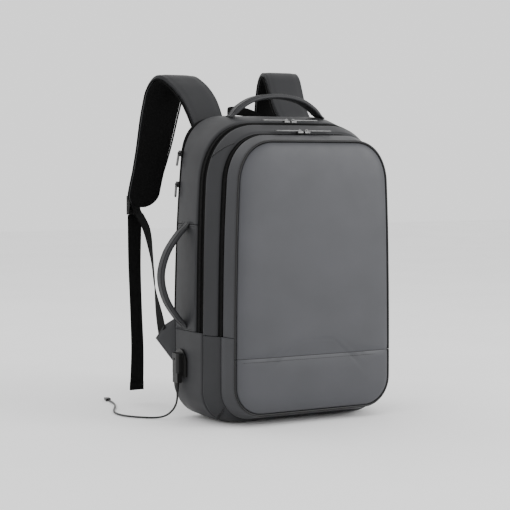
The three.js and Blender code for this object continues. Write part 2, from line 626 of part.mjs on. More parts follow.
// Charging lead: down from the plug, then along the floor, to its small connector.
const CORD_POINTS = [
  [0, 0, 0], [0, 0, -8], [-1, 1, -17], [-5, 4, -27], [-12, 9, -35], [-21, 15, -39], [-32, 23, -40.1],
  [-43, 33, -40.1], [-53, 46, -40.1], [-60, 62, -40.1], [-62, 80, -40.1], [-59, 98, -40.1],
  [-52, 116, -40.1], [-43, 133, -40.1], [-34, 150, -40.1], [-27, 167, -40.1], [-22, 184, -40.1],
  [-19, 201, -40.1], [-17, 212, -40.1],
]; // from the lead's exit
function chargingLead(exit) {
  const points = CORD_POINTS.map(([x, y, z]) => new THREE.Vector3(x, y, z).add(exit));
  const curve = new THREE.CatmullRomCurve3(points);
  const section = new THREE.Shape();
  section.absarc(0, 0, CORD_DIAMETER / 2, 0, 2 * Math.PI);
  const cord = new THREE.ExtrudeGeometry(section, { steps: 44, extrudePath: curve, curveSegments: 4 });
  add('charging_cord', cord, WEBBING);

  const end = curve.getPointAt(1);
  const along = curve.getTangentAt(1);
  const connector = join(block(-3.8, 3.8, GAP, 14, -2.2, 2.2), block(-3, 3, 13, 20, -0.9, 0.9));
  const mesh = add('phone_connector', connector, PLASTIC);
  mesh.position.set(end.x, end.y, 2.4);
  mesh.rotation.z = -Math.atan2(along.x, along.y);
}

rearSection();
backPadding();
frontSection();
frontPocket();
zipHardware();
handles();
strap('left');
strap('right');
chargingLead(chargingPort());

export default backpack;
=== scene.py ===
"""A grey business travel backpack standing on a pale studio floor, built around its CAD frame."""

import math

import bmesh
import bpy
import numpy as np
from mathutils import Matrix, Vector, noise


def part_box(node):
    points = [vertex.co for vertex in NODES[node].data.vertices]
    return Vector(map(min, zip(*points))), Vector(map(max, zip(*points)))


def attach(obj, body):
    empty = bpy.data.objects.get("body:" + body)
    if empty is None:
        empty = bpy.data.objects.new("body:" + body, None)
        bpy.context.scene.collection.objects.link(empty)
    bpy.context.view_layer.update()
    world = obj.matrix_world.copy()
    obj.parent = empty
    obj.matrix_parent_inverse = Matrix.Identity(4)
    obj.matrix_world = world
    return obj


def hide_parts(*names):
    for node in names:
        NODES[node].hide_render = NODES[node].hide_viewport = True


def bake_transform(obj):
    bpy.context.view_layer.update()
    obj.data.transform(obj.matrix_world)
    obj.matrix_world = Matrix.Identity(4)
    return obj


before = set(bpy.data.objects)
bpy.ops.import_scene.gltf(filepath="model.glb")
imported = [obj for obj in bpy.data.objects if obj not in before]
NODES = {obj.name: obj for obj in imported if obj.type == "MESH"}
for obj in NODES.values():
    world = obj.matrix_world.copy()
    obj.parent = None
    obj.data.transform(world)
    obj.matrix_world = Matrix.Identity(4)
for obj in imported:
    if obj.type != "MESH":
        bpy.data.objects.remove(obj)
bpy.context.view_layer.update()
MM = 0.001

# ---------------------------------------------------------------- sizes, in millimetres
WALL = 3.0
POCKET_DEPTH = 25
POCKET_ZIP_WIDTH = 10
MIDDLE_DEPTH = 25
MAIN_ZIP_WIDTH = 18
BINDING_DEPTH = 6
CHAIN_HALF = 2
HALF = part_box("lower_gusset")[1][0] / MM
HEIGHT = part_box("rear_gusset_top")[1][2] / MM
FRONT_FACE_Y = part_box("pocket_gusset_upper")[0][1] / MM
POCKET_BACK_Y = FRONT_FACE_Y + POCKET_DEPTH
POCKET_CHAIN_Y = POCKET_BACK_Y + POCKET_ZIP_WIDTH / 2
MIDDLE_FRONT_Y = POCKET_BACK_Y + POCKET_ZIP_WIDTH
MIDDLE_BACK_Y = MIDDLE_FRONT_Y + MIDDLE_DEPTH
MAIN_CHAIN_Y = MIDDLE_BACK_Y + MAIN_ZIP_WIDTH / 2
REAR_FRONT_Y = MIDDLE_BACK_Y + MAIN_ZIP_WIDTH
BACK_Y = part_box("back_binding")[1][1] / MM
BINDING_Y = BACK_Y - BINDING_DEPTH
GAP = 0.3
SEAM_Z = 102.0
ZIP_END_Z = 136.0
POCKET_ZIP_END_Z = 133.0
HANDLE_SEAM_Z = 296.0
WEBBING = 25.0
WEBBING_THICK = 1.6
LOCK_TURN = 0.52

# Outer outline at stations along the depth:
# y, half width, top, bottom, top corner, bottom corner, lean of the sides towards the top.
STATIONS = np.array([
    [FRONT_FACE_Y, HALF - 24, HEIGHT - 40, 16, 58, 45, 6],
    [POCKET_BACK_Y, HALF - 18, HEIGHT - 31, 8, 66, 47, 7],
    [POCKET_CHAIN_Y, HALF - 18, HEIGHT - 30.5, 7, 66, 47, 7],
    [MIDDLE_FRONT_Y, HALF - 14, HEIGHT - 27, 3, 72, 48, 7],
    [MIDDLE_BACK_Y, HALF - 3, HEIGHT - 15, 0, 84, 50, 6],
    [REAR_FRONT_Y, HALF - 1, HEIGHT - 11, 0, 86, 50, 7],
    [BINDING_Y - 24, HALF, HEIGHT, 0, 80, 50, 11],
    [BINDING_Y - 9, HALF, HEIGHT, 0, 72, 50, 13],
    [BINDING_Y, HALF - 0.5, HEIGHT - 2, 4, 62, 48, 14],
    [BACK_Y, HALF - 1, HEIGHT - 5, 10, 50, 45, 14],
])


def outline(y, inset=0.0):
    """Right half of the outline at depth y, bottom middle to top middle, as (n, 2) of x and z."""
    side, top, low, top_r, low_r, lean = (np.interp(y, STATIONS[:, 0], STATIONS[:, k]) for k in range(1, 7))
    side, top, low = side - inset, top - inset, low + inset
    r, q = max(top_r - inset, 2.0), max(low_r - inset, 2.0)
    shoulder = side - lean
    parts = []
    t = np.linspace(0, 1, 30)[:-1, None]
    parts.append(np.hstack([t * (side - q), 0 * t + low]))
    a = np.linspace(-math.pi / 2, 0, 19)[:-1, None]
    parts.append(np.hstack([side - q + q * np.cos(a), low + q + q * np.sin(a)]))
    t = np.linspace(0, 1, 71)[:-1, None]
    ends = [(side, low + q), (side, top * 0.6), (shoulder, top - r)]
    parts.append(sum(w * np.array(p) for w, p in zip(((1 - t) ** 2, 2 * t * (1 - t), t ** 2), ends)))
    t = np.linspace(0, 1, 31)[:-1, None]
    ends = [
        (shoulder, top - r),
        (shoulder - 0.06 * r, top - 0.42 * r),
        (shoulder - 0.42 * r, top),
        (shoulder - r, top),
    ]
    weights = ((1 - t) ** 3, 3 * t * (1 - t) ** 2, 3 * t ** 2 * (1 - t), t ** 3)
    parts.append(sum(w * np.array(p) for w, p in zip(weights, ends)))
    t = np.linspace(0, 1, 26)[:, None]
    parts.append(np.hstack([(shoulder - r) * (1 - t), 0 * t + top]))
    return np.vstack(parts)


def loop(y, inset=0.0, at_y=None):
    """The whole closed outline as (n, 3)."""
    right = outline(y, inset)
    left = right[1:-1][::-1] * [-1, 1]
    flat = np.vstack([right, left])
    return np.column_stack([flat[:, 0], np.full(len(flat), y if at_y is None else at_y), flat[:, 1]])


def unit(vector):
    return vector / np.linalg.norm(vector)


def circle(count):
    """Evenly spaced angles once round."""
    return np.linspace(0, 2 * math.pi, count + 1)[:-1]


# ---------------------------------------------------------------- materials
def linear(grey, tint=(1.0, 1.0, 1.0)):
    return (grey * tint[0], grey * tint[1], grey * tint[2], 1.0)


class Shader:
    """A Principled material with a small node network."""

    def __init__(self, name, rough, metal=0.0, sheen=0.0, coat=0.0, specular=0.5):
        self.material = bpy.data.materials.new(name)
        self.material.use_nodes = True
        self.nodes = self.material.node_tree.nodes
        self.links = self.material.node_tree.links
        self.bsdf = self.nodes["Principled BSDF"]
        self.bsdf.inputs["Roughness"].default_value = rough
        self.bsdf.inputs["Metallic"].default_value = metal
        self.bsdf.inputs["Sheen Weight"].default_value = sheen
        self.bsdf.inputs["Sheen Roughness"].default_value = 0.4
        self.bsdf.inputs["Coat Weight"].default_value = coat
        self.bsdf.inputs["Specular IOR Level"].default_value = specular
        self.place = self.nodes.new("ShaderNodeTexCoord").outputs["Object"]

    def link(self, a, b):
        self.links.new(a, b)

    def noise(self, scale, detail=3.0, rough=0.5):
        node = self.nodes.new("ShaderNodeTexNoise")
        node.inputs["Scale"].default_value = scale
        node.inputs["Detail"].default_value = detail
        node.inputs["Roughness"].default_value = rough
        self.link(self.place, node.inputs["Vector"])
        return node.outputs["Fac"]

    def voronoi(self, scale):
        node = self.nodes.new("ShaderNodeTexVoronoi")
        node.inputs["Scale"].default_value = scale
        self.link(self.place, node.inputs["Vector"])
        return node.outputs["Distance"]

    def wave(self, scale, direction="Z", distortion=0.0):
        node = self.nodes.new("ShaderNodeTexWave")
        node.bands_direction = direction
        node.inputs["Scale"].default_value = scale
        node.inputs["Distortion"].default_value = distortion
        self.link(self.place, node.inputs["Vector"])
        return node.outputs["Fac"]

    def math(self, kind, a, b):
        node = self.nodes.new("ShaderNodeMath")
        node.operation = kind
        for socket, value in zip(node.inputs, (a, b)):
            if isinstance(value, float):
                socket.default_value = value
            else:
                self.link(value, socket)
        return node.outputs[0]

    def ramp(self, value, stops):
        node = self.nodes.new("ShaderNodeValToRGB")
        for element, (position, colour) in zip(node.color_ramp.elements, stops):
            element.position, element.color = position, colour
        self.link(value, node.inputs["Fac"])
        return node.outputs["Color"]

    def colour(self, value, low, high):
        self.link(self.ramp(value, [(0.3, low), (0.7, high)]), self.bsdf.inputs["Base Color"])

    def roughness(self, value, low, high):
        node = self.nodes.new("ShaderNodeMapRange")
        node.inputs["To Min"].default_value = low
        node.inputs["To Max"].default_value = high
        self.link(value, node.inputs["Value"])
        self.link(node.outputs["Result"], self.bsdf.inputs["Roughness"])

    def bump(self, *layers):
        """Bump nodes in a row from (height, strength, distance in metres)."""
        normal = None
        for height, strength, distance in layers:
            node = self.nodes.new("ShaderNodeBump")
            node.inputs["Strength"].default_value = strength
            node.inputs["Distance"].default_value = distance
            self.link(height, node.inputs["Height"])
            if normal:
                self.link(normal, node.inputs["Normal"])
            normal = node.outputs["Normal"]
        self.link(normal, self.bsdf.inputs["Normal"])


def coated_fabric(name, grey, rough):
    """Smooth coated polyester: fine plain weave under a soft satin coat, with faint clouding."""
    s = Shader(name, rough, sheen=0.02, specular=0.26)
    cloud = s.noise(14.0, 4.0)
    s.colour(cloud, linear(grey * 0.93, (0.97, 1.0, 1.10)), linear(grey * 1.07, (0.98, 1.0, 1.11)))
    weave = s.math("MULTIPLY", s.wave(320.0, "Z"), s.wave(320.0, "X"))
    s.roughness(s.noise(60.0, 3.0), rough - 0.05, rough + 0.06)
    s.bump((s.noise(38.0, 3.0), 0.25, 0.0006), (weave, 0.10, 0.0001), (s.noise(1500.0, 2.0), 0.16, 0.00008))
    return s.material


def woven(name, grey, pitch, rough=0.75, direction="Z"):
    """Ribbed webbing or tape: rows along the strip over a cross weave."""
    s = Shader(name, rough, specular=0.06)
    rows = s.wave(pitch, direction)
    cross = s.wave(pitch * 0.8, "X" if direction != "X" else "Z", 1.2)
    body = s.math("ADD", rows, cross)
    s.colour(s.noise(220.0, 3.0), linear(grey * 0.75), linear(grey * 1.4))
    s.bump((body, 0.55, 0.0003), (s.noise(2200.0, 2.0), 0.25, 0.0001))
    return s.material


def spacer_mesh(name, grey):
    """Airy knitted padding cover with small open cells."""
    s = Shader(name, 0.85, specular=0.06)
    cells = s.voronoi(760.0)
    s.colour(cells, linear(grey * 0.6), linear(grey * 1.3))
    s.bump((cells, 0.7, 0.0006), (s.noise(1800.0, 2.0), 0.3, 0.0001))
    return s.material


def moulded(name, grey, rough):
    """Black moulded plastic with a fine spark texture."""
    s = Shader(name, rough, specular=0.3)
    s.colour(s.noise(90.0, 3.0), linear(grey * 0.8), linear(grey * 1.3))
    s.roughness(s.noise(260.0, 4.0), rough - 0.08, rough + 0.1)
    s.bump((s.noise(2600.0, 2.0), 0.12, 0.0001))
    return s.material


def gunmetal(name, grey, rough):
    """Dark plated zip metal, rubbed a little brighter in places."""
    s = Shader(name, rough, metal=0.95, specular=0.5)
    s.colour(s.noise(160.0, 5.0, 0.65), linear(grey * 0.7), linear(grey * 1.5))
    s.roughness(s.noise(420.0, 4.0), rough - 0.1, rough + 0.14)
    s.bump((s.noise(1500.0, 3.0), 0.15, 0.00008))
    return s.material


FABRIC = coated_fabric("coated_fabric", 0.030, 0.45)
# The straps' copy of the coated fabric is darker still: painted shade.
FABRIC_STRAP_PAINTED_SHADE = coated_fabric("coated_fabric_strap_painted_shade", 0.016, 0.46)
# The copy of the coated fabric on the top, sides, gussets, grips and anchor tabs is darker: painted shade on
# faces turned from the lamps.
FABRIC_PAINTED_SHADE = coated_fabric("coated_fabric_painted_shade", 0.019, 0.5)
# The front panel's copy of the coated fabric is lighter than the rest: painted light where the front faces
# the lamps.
FABRIC_FRONT_PAINTED_LIGHT = coated_fabric("coated_fabric_front_painted_light", 0.050, 0.43)
MESH = spacer_mesh("spacer_mesh", 0.0055)
TAPE = woven("zip_tape_weave", 0.0035, 700.0)
COIL = woven("zip_coil", 0.005, 420.0, 0.5)
WEB = woven("webbing_weave", 0.0045, 380.0)
PIPING = coated_fabric("piping_cover", 0.005, 0.4)
THREAD = woven("stitch_thread", 0.03, 1800.0, 0.6)
LINING = woven("lining_weave", 0.03, 800.0, 0.7)
PLASTIC = moulded("moulded_plastic", 0.005, 0.36)
METAL = gunmetal("zip_metal", 0.085, 0.32)
JACKET = moulded("cord_jacket", 0.008, 0.42)


# ---------------------------------------------------------------- mesh helpers
def mesh_object(name, points_mm, faces, material, smooth=True):
    mesh = bpy.data.meshes.new(name)
    mesh.from_pydata([tuple(float(v) * MM for v in p) for p in points_mm], [], [tuple(f) for f in faces])
    obj = bpy.data.objects.new(name, mesh)
    bpy.context.scene.collection.objects.link(obj)
    mesh.materials.append(material)
    tidy(obj, smooth)
    return obj


def tidy(obj, smooth=True):
    bm = bmesh.new()
    bm.from_mesh(obj.data)
    bmesh.ops.remove_doubles(bm, verts=bm.verts, dist=1e-6)
    bmesh.ops.recalc_face_normals(bm, faces=bm.faces)
    bm.to_mesh(obj.data)
    bm.free()
    if smooth:
        obj.data.shade_smooth()
        obj.data.set_sharp_from_angle(angle=math.radians(50))


def swept(name, loops, material, closed_path=False, caps=True):
    """Surface through equal loops (k, n, 3); the loops are closed round, the path may be too."""
    loops = np.asarray(loops)
    k, n = loops.shape[:2]
    points = loops.reshape(-1, 3)
    faces = []
    for i in range(k if closed_path else k - 1):
        a, b = i * n, ((i + 1) % k) * n
        faces += [(a + j, a + (j + 1) % n, b + (j + 1) % n, b + j) for j in range(n)]
    if caps and not closed_path:
        faces += [tuple(range(n))[::-1], tuple(range((k - 1) * n, k * n))]
    return mesh_object(name, points, faces, material)


def slice_z(obj, low=None, high=None):
    """Keeps what lies between two heights in millimetres, and closes the cuts."""
    bm = bmesh.new()
    bm.from_mesh(obj.data)
    for z, outward in ((low, -1), (high, 1)):
        if z is None:
            continue
        geometry = bm.verts[:] + bm.edges[:] + bm.faces[:]
        bmesh.ops.bisect_plane(
            bm, geom=geometry, plane_co=(0, 0, z * MM), plane_no=(0, 0, outward), clear_outer=True, dist=1e-6,
        )
        rim = [e for e in bm.edges if e.is_boundary]
        bmesh.ops.holes_fill(bm, edges=rim, sides=0)
    bmesh.ops.recalc_face_normals(bm, faces=bm.faces)
    bm.to_mesh(obj.data)
    bm.free()
    return obj


def keep_side(obj, sign):
    """Keeps the half of a piece on one side of X = 0."""
    bm = bmesh.new()
    bm.from_mesh(obj.data)
    geometry = bm.verts[:] + bm.edges[:] + bm.faces[:]
    bmesh.ops.bisect_plane(bm, geom=geometry, plane_co=(0, 0, 0), plane_no=(-sign, 0, 0), clear_outer=True)
    bm.to_mesh(obj.data)
    bm.free()
    return obj


def relax_cloth(obj, depth_mm, scale=11.0, seed=0.0):
    """Lets the cloth dip between its seams by smooth noise, inwards only."""
    shift = Vector((seed, seed * 0.7, 0))
    normals = [v.normal.copy() for v in obj.data.vertices]
    for v, n in zip(obj.data.vertices, normals):
        amount = noise.noise(v.co * scale + shift) + 0.4 * noise.noise(v.co * scale * 2.3 + shift)
        v.co -= n * depth_mm * MM * max(0.0, 0.45 + amount) * 0.6
    return obj


def place(obj, body, *nodes, slot=None):
    if nodes:
        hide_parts(*nodes)
    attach(obj, body)
    return obj


# ---------------------------------------------------------------- sewn gussets, tapes and chains
def gusset_profile(y0, y1, roll=2.2, puff=0.0):
    """Cross-section of a sewn wall: edges rolled into the seams, a flat middle, and a plain inside."""
    rolled = [(0.0, roll), (0.5, roll * 0.5), (1.3, roll * 0.2), (2.6, 0.04), (4.5, -puff)]
    outer = [(y0 + a, b) for a, b in rolled] + [(y1 - a, b) for a, b in rolled[::-1]]
    middle = [((y0 + y1) / 2, -puff)]
    half = len(rolled)
    return outer[:half] + middle + outer[half:] + [(y1, WALL), ((y0 + y1) / 2, WALL), (y0, WALL)]


def flat_profile(y0, y1, inset, thick, round_by=0.4):
    return [
        (y0, inset + round_by), (y0 + round_by, inset), ((y0 + y1) / 2, inset - 0.05), (y1 - round_by, inset),
        (y1, inset + round_by), (y1, inset + thick), (y0, inset + thick),
    ]


def ring(name, profile, material, low=None, high=None, base=0.0):
    """A profile of (y, inset) run round the bag's outline and cut to a range of heights."""
    loops = np.array([loop(y, inset + base) for y, inset in profile]).transpose(1, 0, 2)
    return slice_z(swept(name, loops, material, closed_path=True), low, high)


def coil_ring(name, y0, y1, inset, material, low):
    """A zip's closed coil: two rows of small loops side by side, proud of the tape."""
    middle = (y0 + y1) / 2
    profile = [
        (y0, 1.6), (y0 + 0.3, 0.5), (y0 + 1.0, 0.1),
        (middle - 0.35, 0.15), (middle, 0.55), (middle + 0.35, 0.15),
        (y1 - 1.0, 0.1), (y1 - 0.3, 0.5), (y1, 1.6), (y1, WALL), (y0, WALL),
    ]
    loops = np.array([loop(y, inset + d) for y, d in profile]).transpose(1, 0, 2)
    path = loops[:, 4]
    step = np.linalg.norm(np.roll(path, -1, axis=0) - path, axis=1)
    along = np.concatenate([[0], np.cumsum(step)])
    pitch = 1.7
    count = int(along[-1] / pitch) * 2
    at = np.linspace(0, along[-1], count, endpoint=False)
    fine = np.empty((count, len(profile), 3))
    closed = np.concatenate([loops, loops[:1]])
    for j in range(len(profile)):
        for axis in range(3):
            fine[:, j, axis] = np.interp(at, along, closed[:, j, axis])
    centre = np.array([0.0, 0.0, HEIGHT / 2])
    for j in (1, 2, 3, 5, 6, 7):
        out = fine[:, j] - centre
        out[:, 1] = 0
        out /= np.linalg.norm(out, axis=1)[:, None]
        lift = np.where(np.arange(count) % 2 == (0 if j < 5 else 1), 0.0, -0.45)
        fine[:, j] += out * lift[:, None]
    return slice_z(swept(name, fine, material, closed_path=True), low)


def stitches(name, path, normals, body, pitch=3.4, length=2.3, radius=0.32):
    """A run of thread stitches lying on a surface along a path in millimetres."""
    path, normals = np.asarray(path, float), np.asarray(normals, float)
    step = np.linalg.norm(np.diff(path, axis=0), axis=1)
    along = np.concatenate([[0], np.cumsum(step)])
    points, faces = [], []
    for s in np.arange(pitch / 2, along[-1] - pitch / 2, pitch):
        places = (s - length / 2, s, s + length / 2)
        ends = [np.array([np.interp(at, along, path[:, k]) for k in range(3)]) for at in places]
        normal = np.array([np.interp(s, along, normals[:, k]) for k in range(3)])
        normal /= np.linalg.norm(normal)
        direction = ends[2] - ends[0]
        direction /= np.linalg.norm(direction)
        side = np.cross(direction, normal)
        start = len(points)
        for p, size in zip(ends, (0.45, 1.0, 0.45)):
            for a in np.linspace(0, 2 * math.pi, 6, endpoint=False):
                points.append(p + radius * size * (math.cos(a) * side + math.sin(a) * normal))
        for r in (0, 6):
            for j in range(6):
                a, b = start + r + j, start + r + (j + 1) % 6
                faces.append((a, b, b + 6, a + 6))
        faces += [tuple(start + j for j in range(6))[::-1], tuple(start + 12 + j for j in range(6))]
    obj = mesh_object(name, points, faces, THREAD)
    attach(obj, body)


def build_shell():
    rear = gusset_profile(REAR_FRONT_Y + GAP, BINDING_Y - GAP, puff=0.25)
    top = ring("rear_gusset_top_cloth", rear, FABRIC_PAINTED_SHADE, low=HANDLE_SEAM_Z + GAP)
    place(relax_cloth(top, 1.0), "pack", "rear_gusset_top", slot="shell_fabric")
    for side, sign in (("left", -1), ("right", 1)):
        panel = ring(f"{side}_side_cloth", rear, FABRIC_PAINTED_SHADE, low=ZIP_END_Z + GAP, high=HANDLE_SEAM_Z - GAP)
        panel = relax_cloth(keep_side(panel, sign), 1.1, seed=3.0 * sign)
        place(panel, "pack", f"{side}_side_panel", slot="shell_fabric")
        for z_low, z_high in ((ZIP_END_Z + 2, ZIP_END_Z + 3), (HANDLE_SEAM_Z - 3, HANDLE_SEAM_Z - 2)):
            level = (z_low + z_high) / 2
            ys = np.linspace(REAR_FRONT_Y + 5, BINDING_Y - 5, 12)
            points = [[sign * (side_x(y, level) + 0.12), y, level] for y in ys]
            stitches(f"{side}_side_stitch_{int(level)}", points, [[sign, 0, 0]] * 12, "pack")
    lower = ring("lower_gusset_cloth", gusset_profile(MIDDLE_BACK_Y + GAP, BINDING_Y - GAP), FABRIC_PAINTED_SHADE,
                 high=ZIP_END_Z - GAP)
    place(relax_cloth(lower, 0.7, seed=5.0), "pack", "lower_gusset", slot="shell_fabric")
    binding = ring("back_binding_cloth", gusset_profile(BINDING_Y + GAP, BACK_Y, roll=1.2), MESH, base=0.8)
    place(binding, "pack", "back_binding", slot="padding_mesh")

    middle = gusset_profile(MIDDLE_FRONT_Y + GAP, MIDDLE_BACK_Y - GAP, puff=0.1)
    upper = ring("middle_gusset_cloth", middle, FABRIC_PAINTED_SHADE, low=POCKET_ZIP_END_Z + GAP)
    place(relax_cloth(upper, 0.8, seed=7.0), "front_section", "middle_gusset_upper", slot="shell_fabric")
    lower = gusset_profile(POCKET_CHAIN_Y + GAP, MIDDLE_BACK_Y - GAP)
    cloth = ring("middle_gusset_lower_cloth", lower, FABRIC_PAINTED_SHADE, high=POCKET_ZIP_END_Z - GAP)
    place(relax_cloth(cloth, 0.7, seed=8.0), "pack", "middle_gusset_lower", slot="shell_fabric")

    pocket = gusset_profile(FRONT_FACE_Y, POCKET_BACK_Y - GAP, roll=1.4)
    upper = ring("pocket_gusset_cloth", pocket, FABRIC, low=POCKET_ZIP_END_Z + GAP)
    place(relax_cloth(upper, 0.5, seed=9.0), "front_pocket", "pocket_gusset_upper", slot="shell_fabric")
    lower = gusset_profile(FRONT_FACE_Y, POCKET_CHAIN_Y - GAP, roll=1.4)
    cloth = ring("pocket_gusset_lower_cloth", lower, FABRIC, high=POCKET_ZIP_END_Z - GAP)
    place(relax_cloth(cloth, 0.5, seed=10.0), "pack", "pocket_gusset_lower", slot="shell_fabric")


def corner_seams():
    """Felled seams across the middle gusset at its four corners, where its strips are joined, drawn as
    near-black tubes: partly the seam, partly painted shade in its crease.

    `at_back` is the outline point where a seam starts at the back, and `lead` how many points it
    moves along the outline by the front."""
    edge, steps = 1.6, 23
    for tag, front_y, at_back, lead, body in (
        ("top", MIDDLE_FRONT_Y, 125, 8, "front_section"),
        ("low", POCKET_CHAIN_Y, 35, 5, "pack"),
    ):
        for side, sign in (("left", -1), ("right", 1)):
            ys = np.linspace(front_y + edge, MIDDLE_BACK_Y - edge, steps + 1)
            line = []
            for k, y in enumerate(ys):
                x, z = outline(y, 0.12)[at_back + int(round(lead * (1 - k / steps)))]
                line.append((sign * x, y, z))
            pos, tan = spline(line, 40)
            loops = []
            for p, t in zip(pos, tan):
                out = np.array([p[0], 0.0, p[2] - HEIGHT / 2])
                out -= t * out.dot(t)
                out = unit(out)
                wide = np.cross(out, t)
                loops.append([p + 1.1 * math.cos(a) * wide + 0.6 * math.sin(a) * out for a in circle(8)])
            # Near-black piping cloth along the seam: partly the seam itself, partly painted shade in its
            # crease.
            seam = swept(f"middle_seam_{tag}_{side}", np.array(loops), PIPING)
            place(seam, body, slot="piping")


def side_x(y, z):
    right = outline(y)
    return float(np.interp(z, right[20:120, 1], right[20:120, 0]))


def build_zips():
    """Each tape shows a sunken strip, with a flap that reaches under the pieces on both sides of it."""
    def tape(name, body, y0, y1, inset, low, reach=1.3):
        under, deep = WALL + 0.35, WALL + 1.0
        shown = flat_profile(y0, y1, inset + 0.9, 1.1)[:5]
        flap = [(y1, under), (y1 + reach, under), (y1 + reach, deep), (y0 - reach, deep), (y0 - reach, under),
                (y0, under)]
        cloth = ring(name + "_cloth", shown + flap, TAPE, low=low + GAP)
        place(cloth, body, name, slot="zip_tape")

    def coil(name, node, body, y, inset, low):
        teeth = coil_ring(name, y - CHAIN_HALF, y + CHAIN_HALF, inset, COIL, low + GAP)
        place(teeth, body, node, slot="zip_tape")

    beside = CHAIN_HALF + GAP
    rear_y, front_y = MAIN_CHAIN_Y + beside, MAIN_CHAIN_Y - beside
    tape("main_zip_tape_rear", "pack", rear_y, REAR_FRONT_Y - GAP, 1.5, ZIP_END_Z)
    tape("main_zip_tape_front", "front_section", MIDDLE_BACK_Y + GAP, front_y, 1.5, ZIP_END_Z)
    rear_y, front_y = POCKET_CHAIN_Y + beside, POCKET_CHAIN_Y - beside
    tape("pocket_zip_tape_rear", "front_section", rear_y, MIDDLE_FRONT_Y - GAP, 1.8, POCKET_ZIP_END_Z)
    # The pocket divider lies close behind this one, so its flap is narrower.
    back_y = POCKET_BACK_Y + GAP
    tape("pocket_zip_tape_front", "front_pocket", back_y, front_y, 1.8, POCKET_ZIP_END_Z, reach=0.7)
    coil("main_zip_coil", "main_zip_chain", "pack", MAIN_CHAIN_Y, 0.0, ZIP_END_Z)
    coil("pocket_zip_coil", "pocket_zip_chain", "front_section", POCKET_CHAIN_Y, 0.5, POCKET_ZIP_END_Z)


# ---------------------------------------------------------------- front panels and piping
def build_front():
    back = FRONT_FACE_Y - 0.8
    depths = [(0.0, 3.4), (1.6, 3.3), (3.0, 4.0), (4.3, 6.5), (5.4, 10.5), (6.3, 16), (7.0, 24), (7.5, 34),
              (7.8, 46), (8.0, 60), (8.0, 80), (8.0, 105)]
    loops = [loop(FRONT_FACE_Y, inset, back - d) for d, inset in depths]
    inner = loops[-1]
    points = np.vstack(loops)
    n = len(inner)
    faces = []
    for k in range(len(loops) - 1):
        a, b = k * n, (k + 1) * n
        faces += [(a + j, a + (j + 1) % n, b + (j + 1) % n, b + j) for j in range(n)]
    # Across the middle, the right and left halves of the innermost loop are joined in strips.
    last = (len(loops) - 1) * n
    half = n // 2
    for j in range(half):
        a, b = last + j, last + j + 1
        c, d = last + (n - j - 1) % n, last + (n - j) % n
        faces.append((a, b, c) if d == a else ((a, b, d) if c == b else (a, b, c, d)))
    faces.append(tuple(range(n))[::-1])
    whole = mesh_object("front_cloth", points, faces, FABRIC_FRONT_PAINTED_LIGHT)
    lower = whole.copy()
    lower.data = whole.data.copy()
    lower.name = "front_lower_cloth"
    bpy.context.scene.collection.objects.link(lower)
    whole.name = "front_upper_cloth"
    for obj, low, high, body, node in (
        (whole, SEAM_Z + GAP, None, "front_pocket", "front_panel_upper"),
        (lower, None, SEAM_Z - GAP, "pack", "front_panel_lower"),
    ):
        slice_z(obj, low, high)
        for v in obj.data.vertices:
            if v.co.y < (back - 1.2) * MM:
                gap = abs(v.co.z / MM - SEAM_Z)
                v.co.y += MM * 1.1 * math.exp(-((gap / 2.6) ** 2))
                sag = noise.noise(Vector((v.co.x * 9, 0, v.co.z * 7)))
                v.co.y += MM * 0.5 * max(0.0, 0.5 + sag)
        tidy(obj)
        place(obj, body, node, slot="shell_fabric")

    tube = []
    for a in np.linspace(0, 2 * math.pi, 12, endpoint=False):
        tube.append(loop(FRONT_FACE_Y, 0.9 - 1.75 * math.cos(a), FRONT_FACE_Y - 1.85 + 1.5 * math.sin(a)))
    loops = np.array(tube).transpose(1, 0, 2)
    for name, low, high, body, node in (
        ("piping_upper_cord", SEAM_Z + GAP, None, "front_pocket", "front_piping_upper"),
        ("piping_lower_cord", None, SEAM_Z - GAP, "pack", "front_piping_lower"),
    ):
        place(slice_z(swept(name, loops, PIPING, closed_path=True), low, high), body, node, slot="piping")

    xs = np.linspace(-124, 124, 60)
    front = back - 8.05
    points = [[x, front + 0.25 + 2.2 * max(0, abs(x) - 95) / 30, SEAM_Z - 5.5] for x in xs]
    stitches("front_seam_stitch", points, [[0, -1, 0]] * len(points), "pack")


# ---------------------------------------------------------------- strips along curves
def spline(points, steps):
    """Centripetal Catmull-Rom curve through points, resampled evenly: (positions, tangents)."""
    p = np.asarray(points, float)
    p = np.vstack([2 * p[0] - p[1], p, 2 * p[-1] - p[-2]])
    dense = []
    for i in range(1, len(p) - 2):
        p0, p1, p2, p3 = p[i - 1 : i + 3]
        t0 = 0.0
        t1 = t0 + np.linalg.norm(p1 - p0) ** 0.5
        t2 = t1 + np.linalg.norm(p2 - p1) ** 0.5
        t3 = t2 + np.linalg.norm(p3 - p2) ** 0.5
        t = np.linspace(t1, t2, 40, endpoint=i == len(p) - 3)[:, None]
        a1 = (t1 - t) / (t1 - t0) * p0 + (t - t0) / (t1 - t0) * p1
        a2 = (t2 - t) / (t2 - t1) * p1 + (t - t1) / (t2 - t1) * p2
        a3 = (t3 - t) / (t3 - t2) * p2 + (t - t2) / (t3 - t2) * p3
        b1 = (t2 - t) / (t2 - t0) * a1 + (t - t0) / (t2 - t0) * a2
        b2 = (t3 - t) / (t3 - t1) * a2 + (t - t1) / (t3 - t1) * a3
        dense.append((t2 - t) / (t2 - t1) * b1 + (t - t1) / (t2 - t1) * b2)
    dense = np.vstack(dense)
    length = np.concatenate([[0], np.cumsum(np.linalg.norm(np.diff(dense, axis=0), axis=1))])
    at = np.linspace(0, length[-1], steps + 1)
    even = np.column_stack([np.interp(at, length, dense[:, k]) for k in range(3)])
    tangent = np.gradient(even, axis=0)
    return even, tangent / np.linalg.norm(tangent, axis=1)[:, None]


